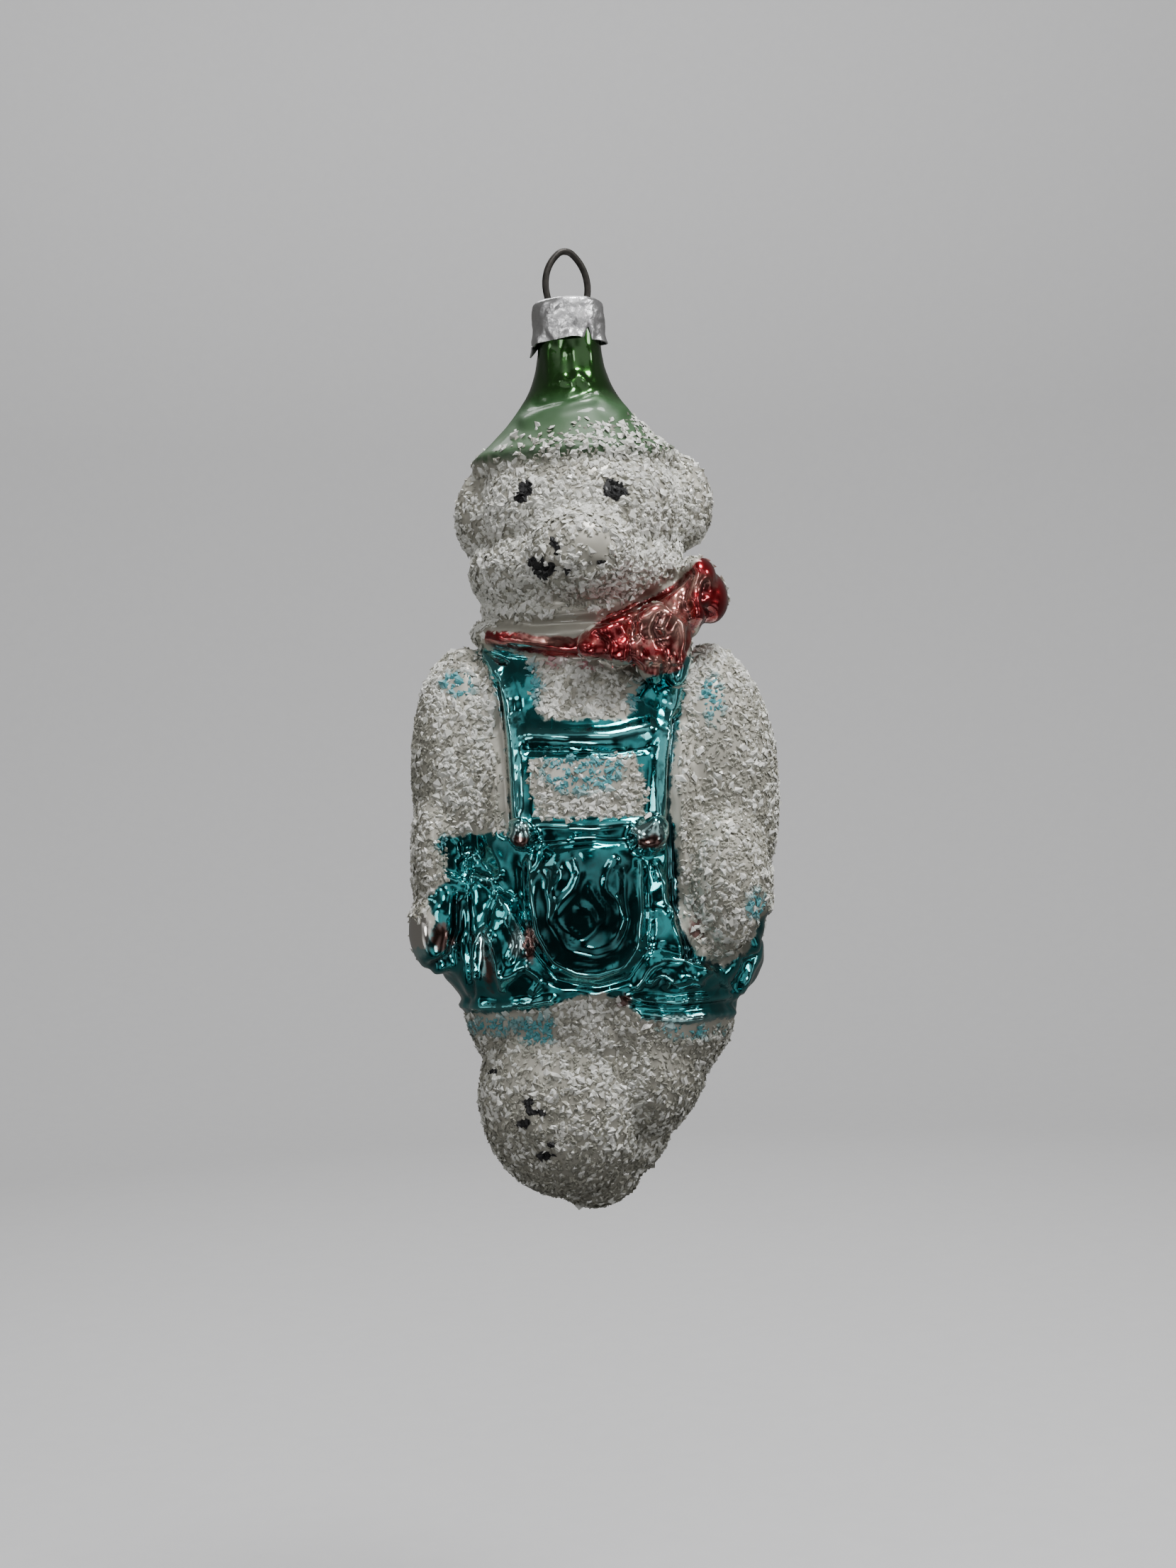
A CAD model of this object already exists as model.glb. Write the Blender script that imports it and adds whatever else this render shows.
"""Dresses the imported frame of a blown-glass bear ornament: silvered and lacquered glass, crushed-glass snow,
painted dabs, the crumpled cap and the spring wire, on a plain pale stage."""

import math

import bmesh
import bpy
import numpy as np
from bpy.props import FloatProperty, FloatVectorProperty, IntProperty, PointerProperty
from bpy.types import Operator, Panel, PropertyGroup
from mathutils import Matrix, Vector, noise


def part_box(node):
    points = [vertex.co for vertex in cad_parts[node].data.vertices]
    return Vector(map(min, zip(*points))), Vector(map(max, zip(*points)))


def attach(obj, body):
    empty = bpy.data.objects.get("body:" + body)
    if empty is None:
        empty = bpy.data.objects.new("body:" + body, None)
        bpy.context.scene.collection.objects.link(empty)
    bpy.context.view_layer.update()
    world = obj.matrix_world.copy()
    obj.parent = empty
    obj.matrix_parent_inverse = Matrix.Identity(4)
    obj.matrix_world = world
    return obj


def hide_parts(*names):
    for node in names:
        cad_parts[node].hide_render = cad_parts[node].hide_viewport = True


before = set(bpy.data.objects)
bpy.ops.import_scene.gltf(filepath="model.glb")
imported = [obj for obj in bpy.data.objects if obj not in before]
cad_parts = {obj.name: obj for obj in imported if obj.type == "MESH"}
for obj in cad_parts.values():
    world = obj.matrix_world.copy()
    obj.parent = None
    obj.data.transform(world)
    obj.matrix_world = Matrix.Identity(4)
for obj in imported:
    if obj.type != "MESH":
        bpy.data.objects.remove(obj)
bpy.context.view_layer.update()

bl_info = {
    "name": "Glass Bear Ornament",
    "version": (1, 0, 0),
    "blender": (4, 5, 0),
    "location": "View3D > Sidebar > Ornament",
    "description": "Blown-glass bear with lacquers, crushed-glass snow, a pressed cap and a wire loop",
    "category": "Object",
}

MM = 0.001
CAP_LOW, CAP_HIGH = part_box("cap")
GLASS_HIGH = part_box("glass_body")[1]
WIRE_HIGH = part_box("hanger_wire")[1]
LOOP_TOP = WIRE_HIGH.z / MM           # the tables below measure heights from the very top of the loop
MOUTH = GLASS_HIGH.z / MM - LOOP_TOP  # the mouth of the neck
TOE = -115.3                          # the tip of the snow on the toe
NECK_R = 3.85
WELL_R = 3.4                          # inside of the neck, where the wire's legs stand
HOLE_R, HOLE_AWAY = 0.72, 2.45        # the cap's two holes, and how far each is from the axis
HOLE_TURN = math.radians(24)          # how far the wire stands turned from left and right
HAT_FLARE = 0.048                     # how fast the neck widens into the hat
BACK_STRAP_R = 1.8                    # half the width of the braces on the back
WELL_SINK = 2.6                       # how far its floor lies below the top of the skull
CAMERA_D = 250                        # from the camera to the ornament's axis
AIM_X, AIM_Z = -0.07, -64.32          # where the camera looks, in the tables' own numbers
NEAR_Y = -8                           # forms in front of this are given where the camera sees them

# ---------------------------------------------------------------- the figure's forms, in millimetres

# x, y, height above the toe, then the three radii
FORMS = {
    "skull": (0.4, 0, 82.8, 13.3, 11.8, 10.6),
    "jaw": (-0.3, -1.5, 76.6, 12.7, 10.8, 7.2),
    "ear_right": (-11.4, 0.5, 83.6, 3.1, 3.8, 5.4),
    "ear_left": (12.4, 0.5, 84.3, 3.9, 3.8, 5.6),
    "muzzle": (0.3, -10.2, 78.8, 6.2, 5.0, 5.2),
    "nose": (1.2, -12.8, 79.6, 2.8, 2.0, 2.3),
    "throat": (-0.5, 0, 70, 12.1, 10.7, 7),
    "chest": (0.3, 0.5, 59.5, 16.4, 10.8, 11.6),
    "belly": (0.5, 0, 46, 16.4, 13.7, 24),
    "hips": (0.4, 0, 31.5, 19.4, 13.7, 10.5),
    "upper_arm_right": (-14.2, -1, 52.3, 6.8, 7.1, 15.6),
    "forearm_right": (-18, -3.5, 42, 3.2, 5.5, 10),
    "paw_right": (-18.4, -5.5, 34.6, 3.4, 4.6, 5.2),
    "upper_arm_left": (14.5, -1, 50, 8.1, 7.6, 16.9),
    "forearm_left": (15.5, -6, 38.4, 5.4, 6.4, 9.6),
    "thighs": (0.4, 0, 26, 16.5, 11.9, 14.6),
    "foot_right": (-4.2, -3.5, 14.6, 10.3, 8.7, 12.2),
    "foot_left": (3.0, -1.5, 18.6, 9.6, 9.2, 10.8),
    "heel_left": (1.8, -1, 11, 6.2, 6, 7.2),
    "toe": (-1.3, -1, 6.4, 5.9, 5.2, 5.8),
    "shorts_side": (16.6, -1, 30.2, 3.4, 5, 4.8),
    "drop_front": (-0.8, -12.3, 36, 6.8, 2.7, 8.6),
    "button_right": (-8.3, -12.9, 45.0, 1.7, 1.5, 1.6),
    "button_left": (6.9, -13.1, 44.4, 2.2, 1.8, 2.0),
    "knot_top": (3.2, -12.6, 69.2, 2.3, 2.0, 1.9),
    "knot_low": (4.6, -12.7, 67.0, 2.3, 2.0, 2.0),
    "knot_side": (1.7, -12.0, 67.5, 2.0, 1.8, 1.7),
    "loop_upper": (8.4, -11.8, 70.2, 2.7, 2.3, 2.4),
    "loop_outer": (10.9, -10.3, 68.0, 2.3, 2.4, 3.2),
    "loop_lower": (7.8, -11.6, 66.5, 2.0, 1.8, 2.2),
    "side_loop_upper": (13.7, -6.8, 74.4, 2.3, 3.0, 2.5),
    "side_loop_outer": (15.2, -4.6, 72.2, 2.2, 3.4, 3.1),
    "side_loop_inner": (13.2, -7.8, 71.2, 1.8, 2.6, 2.4),
    "loop_bridge": (11.0, -6, 70.6, 3.4, 4, 3.8),
    "bow_tail_outer": (10.9, -9.7, 65.0, 1.9, 1.7, 2.4),
    "bow_tail_inner": (8.0, -10.9, 64.7, 1.5, 1.4, 1.9),
    "thigh_fold": (9.6, -10.6, 28.2, 4.2, 2.0, 2.2),
    "pocket_right": (-17.0, -7.0, 38.0, 2.3, 2.4, 2.8),
    "hip_right": (-12.9, -4.4, 34.6, 4.6, 5.6, 9.6),
    "leaf_right": (-10.6, -9.8, 32.6, 2.6, 2.2, 5.4),
}

# Ridges (+) and creases (-) of the front: half width, height, then points x, z down from the loop's top
FRONT_LINES = [
    (1.35, 0.85, [(-11.6, -48), (-10.4, -50), (-9, -54), (-8.5, -58), (-8.4, -62), (-8.3, -66), (-8.4, -69)]),
    (1.3, 0.85, [(11.8, -50), (10.6, -54), (9.6, -58), (8.8, -62), (8.4, -66), (8, -69)]),
    (0.35, -0.35, [(-9.6, -50.5), (-8.6, -54), (-8.2, -58), (-8.2, -67)]),
    (0.35, -0.3, [(10.2, -54), (9.3, -58), (8.6, -62), (8.3, -67)]),
    (1.5, 0.65, [(-6.6, -58.3), (-3, -58.6), (3, -58.9), (7.4, -58)]),
    (0.55, -0.7, [(-7.2, -59.9), (-1, -60.2), (3, -60.6), (7.2, -60.3)]),
    (0.7, 0.6, [(-6.4, -69), (0, -69.5), (5, -69.3)]),
    (0.9, -0.6, [(-6.6, -71.2), (0, -71), (4.6, -71.4)]),
    (0.7, 0.55, [(-7.3, -73), (-7.2, -78), (-6.7, -82), (-5, -85.4), (-2.5, -86.8), (0, -87.2), (3, -86.3),
                (4.9, -84), (5.4, -80), (5.5, -74)]),
    (0.5, -0.5, [(-8.6, -74), (-8.5, -79), (-7.8, -84), (-5, -87.8), (0, -89), (4, -87.9), (6.4, -84.5),
                 (6.8, -79), (6.9, -74.5)]),
    (0.9, -0.35, [(-5.8, -75), (-5.4, -81), (-3.6, -84.2), (0, -85.2), (2.6, -84.4), (3.8, -82), (4, -75)]),
    (0.5, 0.35, [(-2.2, -73), (-1.5, -75), (-2.4, -77), (-4, -78.4), (-5.3, -80.4)]),
    (0.5, 0.35, [(2.8, -73.4), (1.8, -75.2), (1.4, -77), (2.8, -78.6), (3.7, -80.6), (2.6, -82.6)]),
    (0.5, 0.3, [(-3.4, -81.6), (-1.6, -83), (0.2, -81.6), (-0.6, -79.4), (-1.8, -79)]),
    (0.45, 0.3, [(-0.4, -76.4), (0.2, -78), (1.4, -79.6), (0.8, -81.2)]),
    (0.4, 0.3, [(-4.2, -73.6), (-3.6, -75.4), (-5.2, -77)]),
    (0.5, -0.7, [(-15.2, -74), (-15.4, -82), (-15.2, -89.5)]),
    (0.55, 0.6, [(-12.8, -75.2), (-10.6, -78.6), (-8.8, -82), (-8.2, -84)]),
    (0.5, 0.65, [(-14.8, -87), (-14.4, -83), (-13.4, -81.2), (-12.4, -82.4), (-11.9, -85.4), (-11.4, -88.4)]),
    (0.6, 0.5, [(-17.2, -74.8), (-15.6, -75.6), (-14.2, -74.6), (-12.6, -75.6), (-11, -74.8)]),
    (0.5, 0.5, [(-16.4, -70.6), (-15.8, -72.4), (-14.6, -71.4), (-13.8, -73)]),
    (0.6, 0.5, [(-10.8, -80), (-9.6, -83), (-10.4, -85)]),
    (0.6, 0.5, [(-10.8, -87), (-8.4, -85.8), (-6.6, -87.4), (-7.6, -89)]),
    (0.8, 0.7, [(-18.6, -89.8), (-12, -90.5), (-5.6, -89.9)]),
    (0.6, 0.6, [(7.4, -74.4), (8.4, -76.4), (8.2, -78.6), (9.4, -80.4)]),
    (0.6, -0.6, [(6.4, -84.6), (8, -84.4), (10.6, -85.4)]),
    (0.5, 0.6, [(4.6, -89), (6.4, -86.6), (8.4, -85.8), (12, -86.2), (14.8, -88.4), (16, -89.6)]),
    (0.45, 0.5, [(6.2, -88.4), (8, -87.2), (9.4, -88.6)]),
    (0.45, 0.5, [(10.6, -87.2), (12.4, -88.8)]),
    (0.55, 0.6, [(3.8, -90.1), (9, -90.9), (16.4, -90.4)]),
    (0.45, -0.5, [(4.4, -91.1), (9, -91.8), (16.2, -91.4)]),
    (0.6, 0.55, [(5, -92.3), (10, -93), (16, -92.4)]),
    (0.7, 0.6, [(19.4, -82), (19.2, -86), (17.2, -89.8)]),
    (0.5, -0.5, [(18, -84.8), (17.6, -88), (16, -90)]),
    (1.0, -1.0, [(-10.6, -52), (-10.5, -60), (-10.2, -69.2)]),
    (0.8, -0.8, [(-17.4, -70.4), (-17, -74)]),
    (0.8, -0.9, [(-16.2, -77.4), (-16.4, -81), (-17.4, -84.6), (-20, -85.6)]),
    (1.0, -1.1, [(10.9, -57), (10.2, -64), (10, -72), (10, -79), (11.6, -85.4)]),
    (0.9, -0.9, [(11.6, -85.6), (15, -87), (18, -85.4), (20.4, -81.4)]),
    (1.5, 0.7, [(-12.4, -45.8), (-8, -46.6), (-3, -47.6), (1, -48)]),
    (0.35, -0.35, [(-9, -45.9), (-5, -46.4), (-1.5, -47.3)]),
    (0.35, -0.35, [(-8.4, -47.1), (-4.6, -47.9), (-1, -48.3)]),
    (1.0, -1.1, [(-11.8, -43.9), (-6, -45), (2, -44.8), (6.4, -43.2), (10.6, -41), (13, -39.2)]),
    (0.5, -0.6, [(6, -44.4), (6.2, -47), (5.8, -49.8)]),
    (0.5, 0.5, [(7.2, -44.6), (6.9, -47.2), (8, -49.6), (10, -50.2)]),
    (0.7, -0.8, [(9.6, -44.6), (8.8, -46.2), (9.4, -47.8)]),
    (0.6, 0.5, [(10.4, -44.4), (11.8, -45.6), (12, -47.8), (11, -50)]),
    (0.5, -0.6, [(13, -43.4), (13.2, -46), (12.6, -49)]),
    (0.6, -0.6, [(13.4, -39.8), (12.4, -42), (12.4, -44.2)]),
    (0.6, -0.7, [(15.2, -41), (14.8, -43), (15.6, -44.6)]),
    (0.5, -0.5, [(1.6, -46.4), (3, -47.6), (2.6, -49.4)]),
    (0.5, -0.4, [(3.8, -45.4), (4.6, -47)]),
    (0.5, -0.35, [(-4, -38.3), (-1, -38.6), (2.6, -38)]),
    (1.2, -0.5, [(-11, -27.4), (-11.4, -31), (-10.8, -35)]),
    (1.2, -0.6, [(12, -27), (13, -31), (12.4, -35.4)]),
    (0.8, 0.22, [(-2.6, -12.4), (-2.4, -16)]),
    (0.7, 0.22, [(2.4, -12.4), (2.6, -15.6)]),
    (0.6, -0.2, [(-0.3, -12), (-0.2, -15.4)]),
    (0.6, 0.4, [(-1, -15.8), (0.2, -16.4), (0.8, -15.2), (1.8, -16.2)]),
    (0.5, 0.35, [(-0.6, -17.6), (0.4, -17.2)]),
    (1.1, 0.4, [(-5.6, -20.6), (-2.6, -19.2), (0.4, -18.4), (3.2, -18.2), (5.8, -20)]),
    (0.9, -0.35, [(-4.2, -18.6), (-1.4, -18.4), (1.6, -17.6)]),
    (2.2, -0.55, [(2.2, -91.4), (3, -97), (4.2, -103), (4.8, -107)]),
    (1.4, 0.5, [(-8.8, -103.6), (-8.2, -105.2)]),
]

# The same for the back, which is plainer
# The braces run straight down the back, as in the CAD
BACK_STRAPS = [[(-8.6, -48), (-8.6, -70)], [(8.6, -48), (8.6, -70)]]
BACK_LINES = [
    (1.4, 0.8, BACK_STRAPS[0]),
    (1.4, 0.8, BACK_STRAPS[1]),
    (0.9, 0.6, [(-15, -69.2), (0, -69.8), (15, -69.2)]),
    (0.7, -0.7, [(0, -71), (0.3, -80), (0, -89.6)]),
    (0.6, -0.5, [(-13, -73.5), (-9, -75.2), (-4.5, -74)]),
    (0.6, -0.5, [(13, -73.5), (9, -75.2), (4.5, -74)]),
    (0.6, 0.5, [(-12.4, -86), (-8, -83.6), (-3, -85.4)]),
    (0.6, 0.5, [(12.4, -86), (8, -83.6), (3, -85.4)]),
    (0.8, 0.7, [(-17, -90), (0, -90.8), (17, -90)]),
    (1.1, -0.9, [(-11.4, -50), (-12, -62), (-14, -76), (-17, -84)]),
    (1.1, -0.9, [(11.4, -50), (12, -62), (14, -76), (17, -84)]),
    (1.6, 0.7, [(-12.6, -45.8), (0, -46.6), (12.6, -45.8)]),
    (1.0, -0.9, [(-12, -43.8), (0, -44.4), (12, -43.6)]),
    (2.4, -1.1, [(0.5, -92), (0.8, -100), (0.6, -108)]),
    (1.2, -0.5, [(-11, -27.4), (-11.4, -31), (-10.8, -35)]),
    (1.2, -0.6, [(12, -27), (13, -31), (12.4, -35.4)]),
]

# ---------------------------------------------------------------- the painted regions, x and z in millimetres

SHORTS_FRONT = [(-17.2, -69.8), (-10.4, -69.6), (10, -69.6), (10.2, -76), (10, -81), (12, -85.4),
                (15, -86.9), (18, -85.4), (19.6, -82), (21, -80), (22.5, -84), (21, -88), (18.6, -90.6),
                (17, -93), (10, -93.7), (5, -92.8), (3.4, -90.6), (0.4, -89.4), (-3, -89.8),
                (-6, -90.9), (-12, -91.4), (-18, -90.8), (-21, -87), (-23.5, -83.4), (-20.6, -83),
                (-19, -80.2), (-20, -77), (-17.8, -75.4)]
FLAP = [(-8.2, -72.4), (5.4, -72.4), (5.4, -81), (4, -85.6), (-1, -87.8), (-5.6, -86.2), (-8, -81)]
BIB_WINDOW = [(-6.8, -61.2), (6, -61.4), (6.6, -65), (6.4, -68.4), (-6, -68.2), (-7, -65)]
BIB_FRONT = [(-13, -47.4), (-7, -48.3), (-5.4, -52), (-5.4, -56.4), (5, -56.8), (6.6, -53), (8.6, -51),
             (13.2, -49.2), (12.2, -53), (10.6, -60), (9.8, -66), (9.6, -70), (-9.8, -70), (-9.6, -64),
             (-9.8, -57), (-10.8, -52)]
SCARF_FRONT = [(-11.6, -45.4), (-8, -45.8), (-5, -46.3), (-1, -46.7), (1, -46), (2, -44.8),
               (5.4, -43.2), (9, -42), (12, -40.4), (13.6, -38.6), (15, -37.6), (18, -39), (18, -45),
               (16, -46.4), (13.6, -46), (12.8, -48.5), (11.8, -51.2), (8, -51.7), (5.4, -50),
               (1, -49.2), (-4, -48.8), (-8.5, -47.8), (-10.4, -47.6), (-11.8, -46.6)]
SHORTS_BACK = [(-17, -69.4), (17, -69.4), (18.5, -79), (22.5, -84), (19, -91), (-19, -91), (-23, -84),
               (-18.5, -79)]
# Places where the red is only a thin blush over the silver: x, z and the two radii
THIN_RED = [(8.8, -45.8, 1.5, 2.2), (11.7, -46, 1.2, 2.6), (-5.2, -46.9, 3.4, 0.6), (14.2, -40.6, 1.6, 0.7),
            (12.3, -42.4, 0.9, 1.6), (6.4, -46, 0.5, 2.2), (9.4, -50.4, 2.2, 0.8), (10.2, -43.6, 1.6, 0.8)]
# Worn places where the brown backing shows, and bare silver ones
WORN = [(-18.3, -82, 1.3, 1.6), (12.2, -82.2, 1.0, 1.5), (-8.0, -83.2, 0.7, 2.4), (-8.4, -70.8, 1.1, 0.8),
        (7.0, -71.6, 1.7, 0.9), (-12.9, -85.6, 0.5, 2.2), (3.0, -90.4, 0.9, 0.7)]
SILVER = [(-8.2, -69.9, 1.3, 1.1), (6.9, -70.4, 2.0, 1.3), (-9.4, -82.6, 0.9, 1.6), (-13.4, -84, 0.5, 1.8),
          (-21.8, -81.4, 2.2, 3.0), (10.4, -93, 4.0, 0.4)]

# ---------------------------------------------------------------- the snow and the paint dabs

SNOW_FRONT = {
    "chest": [(-7.2, -48.6), (1, -49.6), (5.4, -50.4), (7, -52.6), (6, -56.6), (-5.8, -56.4), (-6.6, -52)],
    "bib": [(-7.2, -60.8), (6.4, -61), (7, -65), (6.8, -68.6), (-6.4, -68.5), (-7.4, -65)],
    "arm_right": [(-12.6, -48), (-10.9, -50), (-10.8, -60), (-10.4, -69.6), (-17.2, -69.6), (-17.6, -75),
                  (-19.4, -76.6), (-20, -79.6), (-26, -80), (-26, -46)],
    "arm_left": [(13.2, -47), (13, -50), (11.4, -56), (10.6, -64), (10.6, -79), (12.2, -84.8), (15, -86.2),
                 (18, -84.8), (20.2, -80.6), (26, -80), (26, -46)],
}
# Thin places in the snow: x, z, the two radii and how much of the snow is left there
THIN_SNOW = [(1.8, -35.8, 2.3, 2.3, 0.12), (-12.6, -30, 1.6, 4, 0.45), (15.8, -28.2, 2.0, 3.2, 0.2),
             (-1, -33.8, 3.2, 1.4, 0.55), (-3.4, -36.6, 1.6, 1.4, 0.5), (-0.8, -63, 3.4, 2.0, 0.8),
             (13.6, -63, 2.4, 3, 0.55), (-15.2, -51.8, 2.2, 2.2, 0.6), (15.4, -55.4, 2.6, 3, 0.6),
             (-8.4, -104.4, 1.8, 1.4, 0.4), (9, -100, 3, 5, 0.7), (-9, -98, 3, 2, 0.6)]
# Where the snow is thickest and whitest, and where it is clear and old: x, z, the two radii
WHITE_SNOW = [(-2, -31, 6, 4), (-6, -41, 6, 2.6), (4, -41, 5, 2), (0, -53, 6, 4), (1.6, -67, 5, 2),
              (-12, -57, 2.4, 7), (2, -23.6, 9, 1.6), (16, -80, 4, 5), (-2, -94, 5, 4), (-15, -66, 3, 4),
              (8, -36, 4, 4), (-18, -52, 3, 4), (12.6, -54, 1.6, 5), (1, -62, 5, 1.2), (-9, -31, 3, 3),
              (2, -104, 4, 5)]
CLEAR_SNOW = [(-12.6, -31, 2.6, 5), (15, -30, 2.6, 5), (2.4, -35.6, 2.6, 2.4), (19, -62, 4, 9),
              (-20, -60, 3, 8), (-15, -75, 3, 6), (12, -70, 3, 6), (9, -99, 4, 5), (-9, -100, 4, 4),
              (3, -112, 4, 3), (-10.5, -94, 4, 2)]
# Flakes stained by the teal lacquer: x, z, the two radii
TEAL_STAINS = [(-15, -51.8, 2.4, 2.0), (15.3, -54.6, 1.8, 3.4), (-0.8, -62.6, 5.8, 3.2), (-6.2, -52, 1.4, 4),
               (6.4, -54.4, 1.6, 2.4), (-12.6, -92.8, 4.6, 1.4), (-7.4, -93.6, 3, 2.2), (11, -94.4, 5, 1.2),
               (19.4, -79.8, 1.6, 2.4), (-17.6, -70.6, 1.4, 1.4), (0, -57.2, 5, 0.8)]
# Teal that ran out over the glass beside the shorts
TEAL_BLOTS = [(-17, -71, 1.6, 1.2)]
RED_STAINS = [(-3.6, -49.4, 1.4, 1.0), (0.4, -50, 3, 0.7)]
# Black dabs: the CAD node each stands for, then blots of x, z and the two radii
DABS = {
    "eye_right": [(-6.1, -28.8, 0.8, 1.1), (-6.7, -29.8, 0.75, 0.6), (-5.6, -28.3, 0.6, 0.7)],
    "eye_left": [(4.4, -29.1, 1.2, 1.1), (5.5, -29.5, 0.8, 0.6), (4.9, -30.1, 0.7, 0.6),
                 (4.1, -28.3, 0.6, 0.5)],
    "nose_dab": [(-2.7, -35.2, 0.4, 0.7), (-2.5, -35.8, 0.3, 0.5)],
    "mouth_dab": [(-5.4, -37.7, 0.8, 0.7), (-4.4, -38.5, 1.2, 0.95), (-3.6, -38.3, 0.8, 0.8),
                  (-2.2, -38.5, 0.7, 0.2), (2.7, -37.9, 0.55, 0.4)],
    "claw_dabs": [(-8.9, -102.6, 0.4, 1.3), (-8.0, -103.4, 0.9, 0.35), (-9.6, -104.6, 0.8, 0.5),
                  (-7.2, -108.6, 0.9, 0.6), (-13, -98.2, 0.4, 0.3), (-6.4, -107.4, 0.4, 0.3)],
}


# Small lights for the glints in the lacquer: where, in millimetres, and how strong
SPARKLE_LIGHTS = [((-150, -330, 60), 0.13), ((30, -350, 190), 0.12), ((-320, -200, -60), 0.09),
                  ((310, -220, -160), 0.1), ((-40, -280, -280), 0.3)]


# ---------------------------------------------------------------- settings

class GlassSettings(PropertyGroup):
    voxel: FloatProperty(name="Grain of the glass", description="Size of the figure's mesh cells",
                         default=0.395 * MM, unit="LENGTH")
    smoothing: IntProperty(name="Smoothing", description="How often the joined forms are smoothed", default=5)
    ripple: FloatProperty(name="Ripple", description="Unevenness of the blown wall", default=0.09 * MM,
                          unit="LENGTH")
    teal: FloatVectorProperty(name="Teal", description="Lacquer of the shorts", subtype="COLOR",
                              default=(0.003, 0.30, 0.32))
    red: FloatVectorProperty(name="Red", description="Lacquer of the scarf", subtype="COLOR",
                             default=(0.33, 0.005, 0.012))
    green: FloatVectorProperty(name="Green", description="Lacquer of the hat and neck", subtype="COLOR",
                               default=(0.02, 0.085, 0.012))
    cream: FloatVectorProperty(name="Cream", description="Bare pearly glass under the snow", subtype="COLOR",
                               default=(0.52, 0.50, 0.43))


class SnowSettings(PropertyGroup):
    flake: FloatProperty(name="Flake", description="Middling width of a flake", default=0.5 * MM,
                         unit="LENGTH")
    per_mm2: FloatProperty(name="Flakes per square millimetre", description="How densely the snow lies",
                           default=7.5)
    seed: IntProperty(name="Seed", description="Start of the random draws", default=7)


class StageSettings(PropertyGroup):
    distance: FloatProperty(name="Camera distance", description="From the camera to the ornament's axis",
                            default=CAMERA_D * MM, unit="LENGTH")
    roll: FloatProperty(name="Roll", description="Lean of the camera about its own line of sight",
                        default=math.radians(2.53), subtype="ANGLE")
    seen_height: FloatProperty(name="Seen height", description="Height of the view at the ornament's axis",
                               default=188 * MM, unit="LENGTH")


# ---------------------------------------------------------------- mesh helpers

def clear_selection():
    if bpy.context.object and bpy.context.object.mode != "OBJECT":
        bpy.ops.object.mode_set(mode="OBJECT")
    bpy.ops.object.select_all(action="DESELECT")


def make_active(obj):
    clear_selection()
    obj.select_set(True)
    bpy.context.view_layer.objects.active = obj
    return obj


def take_new(name):
    """Names the primitive that has just been added, and puts its place into its mesh."""
    obj = bpy.context.object
    bpy.ops.object.transform_apply(location=True, rotation=True, scale=True)
    obj.name = obj.data.name = name
    return obj


def join(objects, name):
    clear_selection()
    for obj in objects:
        obj.select_set(True)
    bpy.context.view_layer.objects.active = objects[0]
    bpy.ops.object.join()
    objects[0].name = objects[0].data.name = name
    return objects[0]


def apply_modifier(obj, kind, **settings):
    make_active(obj)
    modifier = obj.modifiers.new(kind.title(), kind)
    for key, value in settings.items():
        setattr(modifier, key, value)
    bpy.ops.object.modifier_apply(modifier=modifier.name)


def lathe(name, profile, steps=96):
    """Turns a closed profile of radius and height, in millimetres, about the Z axis."""
    mesh = bpy.data.meshes.new(name)
    points = [(r * MM, 0, z * MM) for r, z in profile]
    mesh.from_pydata(points, [(k, (k + 1) % len(points)) for k in range(len(points))], [])
    obj = bpy.data.objects.new(name, mesh)
    bpy.context.collection.objects.link(obj)
    make_active(obj)
    bpy.ops.object.mode_set(mode="EDIT")
    bpy.ops.mesh.select_all(action="SELECT")
    bpy.ops.mesh.spin(steps=steps, angle=math.tau, center=(0, 0, 0), axis=(0, 0, 1))
    bpy.ops.mesh.select_all(action="SELECT")
    bpy.ops.mesh.remove_doubles(threshold=1e-6)
    bpy.ops.mesh.normals_make_consistent(inside=False)
    bpy.ops.object.mode_set(mode="OBJECT")
    return obj


def positions(mesh):
    out = np.empty(len(mesh.vertices) * 3)
    mesh.vertices.foreach_get("co", out)
    return out.reshape(-1, 3)


def normals(mesh):
    out = np.empty(len(mesh.vertices) * 3)
    mesh.vertices.foreach_get("normal", out)
    return out.reshape(-1, 3)


def set_positions(mesh, points):
    mesh.vertices.foreach_set("co", np.ascontiguousarray(points, float).ravel())
    mesh.update()


def mould_view(points):
    """Row-frame metres to the tables' own numbers: x and z in millimetres where the camera sees them against
    the ornament's axis, z down from the loop's top."""
    zoom = CAMERA_D / (CAMERA_D + np.minimum(points[:, 1] / MM, 0))
    x, z = points[:, 0] / MM, points[:, 2] / MM - LOOP_TOP
    return np.column_stack([AIM_X + (x - AIM_X) * zoom, AIM_Z + (z - AIM_Z) * zoom])


def noise_at(points, size, seed=0.0):
    """Smooth noise from -1 to 1 with features of about size metres."""
    shift = Vector((seed * 3.1, seed * 1.7, seed * 2.3))
    return np.array([noise.noise(Vector(p) / size + shift) for p in points])


def line_distance(flat, line):
    best = np.full(len(flat), 1e9)
    for a, b in zip(np.array(line[:-1], float), np.array(line[1:], float)):
        along = np.clip(((flat - a) @ (b - a)) / ((b - a) @ (b - a)), 0, 1)
        best = np.minimum(best, np.linalg.norm(flat - a - along[:, None] * (b - a), axis=1))
    return best


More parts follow.
